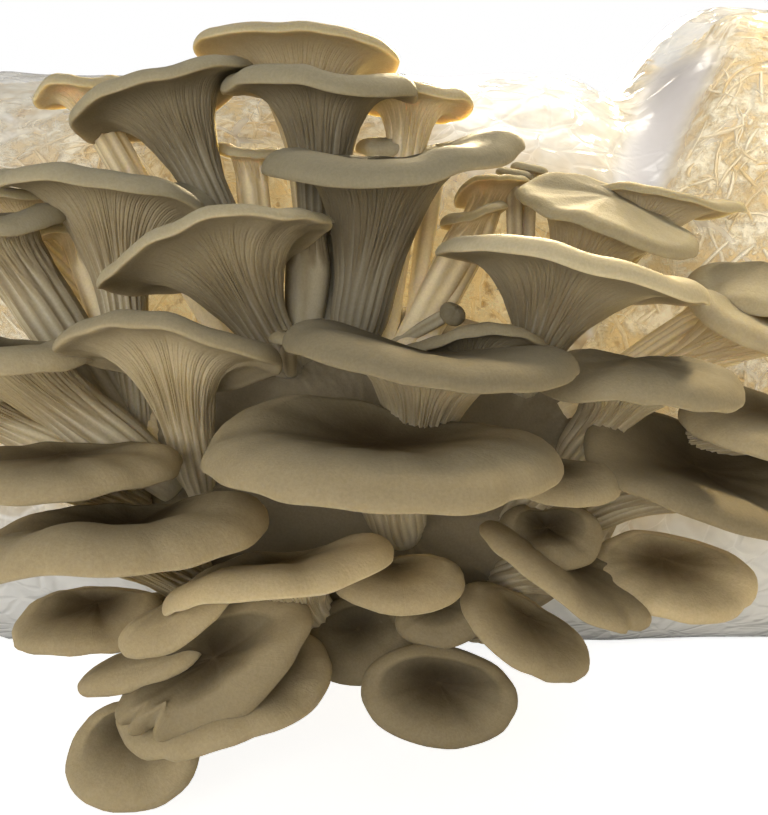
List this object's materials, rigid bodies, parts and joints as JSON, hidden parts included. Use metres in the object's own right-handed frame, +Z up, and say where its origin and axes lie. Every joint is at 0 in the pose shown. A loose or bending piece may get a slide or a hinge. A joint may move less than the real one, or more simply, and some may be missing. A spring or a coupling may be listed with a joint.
{
  "type": "oyster mushroom grow bag",
  "caption": "Clear film bag packed with straw, lying on its side, with a large cluster of oyster mushrooms growing out of an opening in its front.",
  "frame": {"origin": "centre of the bag's flat underside", "axes": "+X along the bag towards its tied neck, +Y away from the side the cluster grows from, +Z up"},
  "size_m": [0.5715, 0.4509, 0.3203],
  "materials": {
    "clear_film": "glossy, crinkled, see-through",
    "packed_straw": "matt fibres",
    "twine": "rough",
    "fused_stems": "matt, fibrous",
    "mushroom_flesh": "satin, slightly damp"
  },
  "bodies": {
    "root": {"bag_film": "clear_film", "straw_block": "packed_straw", "neck_tie": "twine", "cluster_foot": "fused_stems", "mushroom_front_big": "mushroom_flesh", "mushroom_centre_wavy": "mushroom_flesh", "mushroom_lower_left_big": "mushroom_flesh", "mushroom_low_left_mid": "mushroom_flesh", "mushroom_front_left": "mushroom_flesh", "mushroom_low_folded": "mushroom_flesh", "mushroom_tongue_left": "mushroom_flesh", "mushroom_mid_left": "mushroom_flesh", "mushroom_upper_centre": "mushroom_flesh", "mushroom_upper_right": "mushroom_flesh", "mushroom_mid_right": "mushroom_flesh", "mushroom_right_shell": "mushroom_flesh", "mushroom_lower_left_thin": "mushroom_flesh", "mushroom_low_centre": "mushroom_flesh", "mushroom_right_band": "mushroom_flesh", "mushroom_low_round": "mushroom_flesh", "mushroom_tongue_low": "mushroom_flesh", "mushroom_low_right_slim": "mushroom_flesh", "mushroom_low_under": "mushroom_flesh", "mushroom_low_right_big": "mushroom_flesh", "mushroom_right_small": "mushroom_flesh", "mushroom_dark_right": "mushroom_flesh", "mushroom_low_left": "mushroom_flesh", "mushroom_lowest": "mushroom_flesh", "mushroom_top_centre": "mushroom_flesh", "mushroom_top_left": "mushroom_flesh", "mushroom_upper_left": "mushroom_flesh", "mushroom_edge_left_mid": "mushroom_flesh", "mushroom_edge_left_upper": "mushroom_flesh", "mushroom_edge_right": "mushroom_flesh", "mushroom_edge_right_wavy": "mushroom_flesh", "mushroom_edge_right_upper": "mushroom_flesh", "mushroom_centre_cup": "mushroom_flesh", "mushroom_back_right_folded": "mushroom_flesh", "mushroom_top_back": "mushroom_flesh", "mushroom_top_right": "mushroom_flesh", "mushroom_top_left_back": "mushroom_flesh", "mushroom_back_right": "mushroom_flesh", "mushroom_back_left": "mushroom_flesh", "mushroom_edge_left_back": "mushroom_flesh", "mushroom_arch_left": "mushroom_flesh", "mushroom_hidden_funnel": "mushroom_flesh", "mushroom_slim_right": "mushroom_flesh", "mushroom_arch_right": "mushroom_flesh", "mushroom_mid_smooth": "mushroom_flesh", "mushroom_small_round": "mushroom_flesh", "mushroom_small_round_right": "mushroom_flesh", "mushroom_small_back_right": "mushroom_flesh", "mushroom_small_back_far": "mushroom_flesh", "mushroom_bud": "mushroom_flesh", "mushroom_button": "mushroom_flesh", "mushroom_low_web": "mushroom_flesh", "mushroom_low_behind": "mushroom_flesh"}
  },
  "joints": []
}
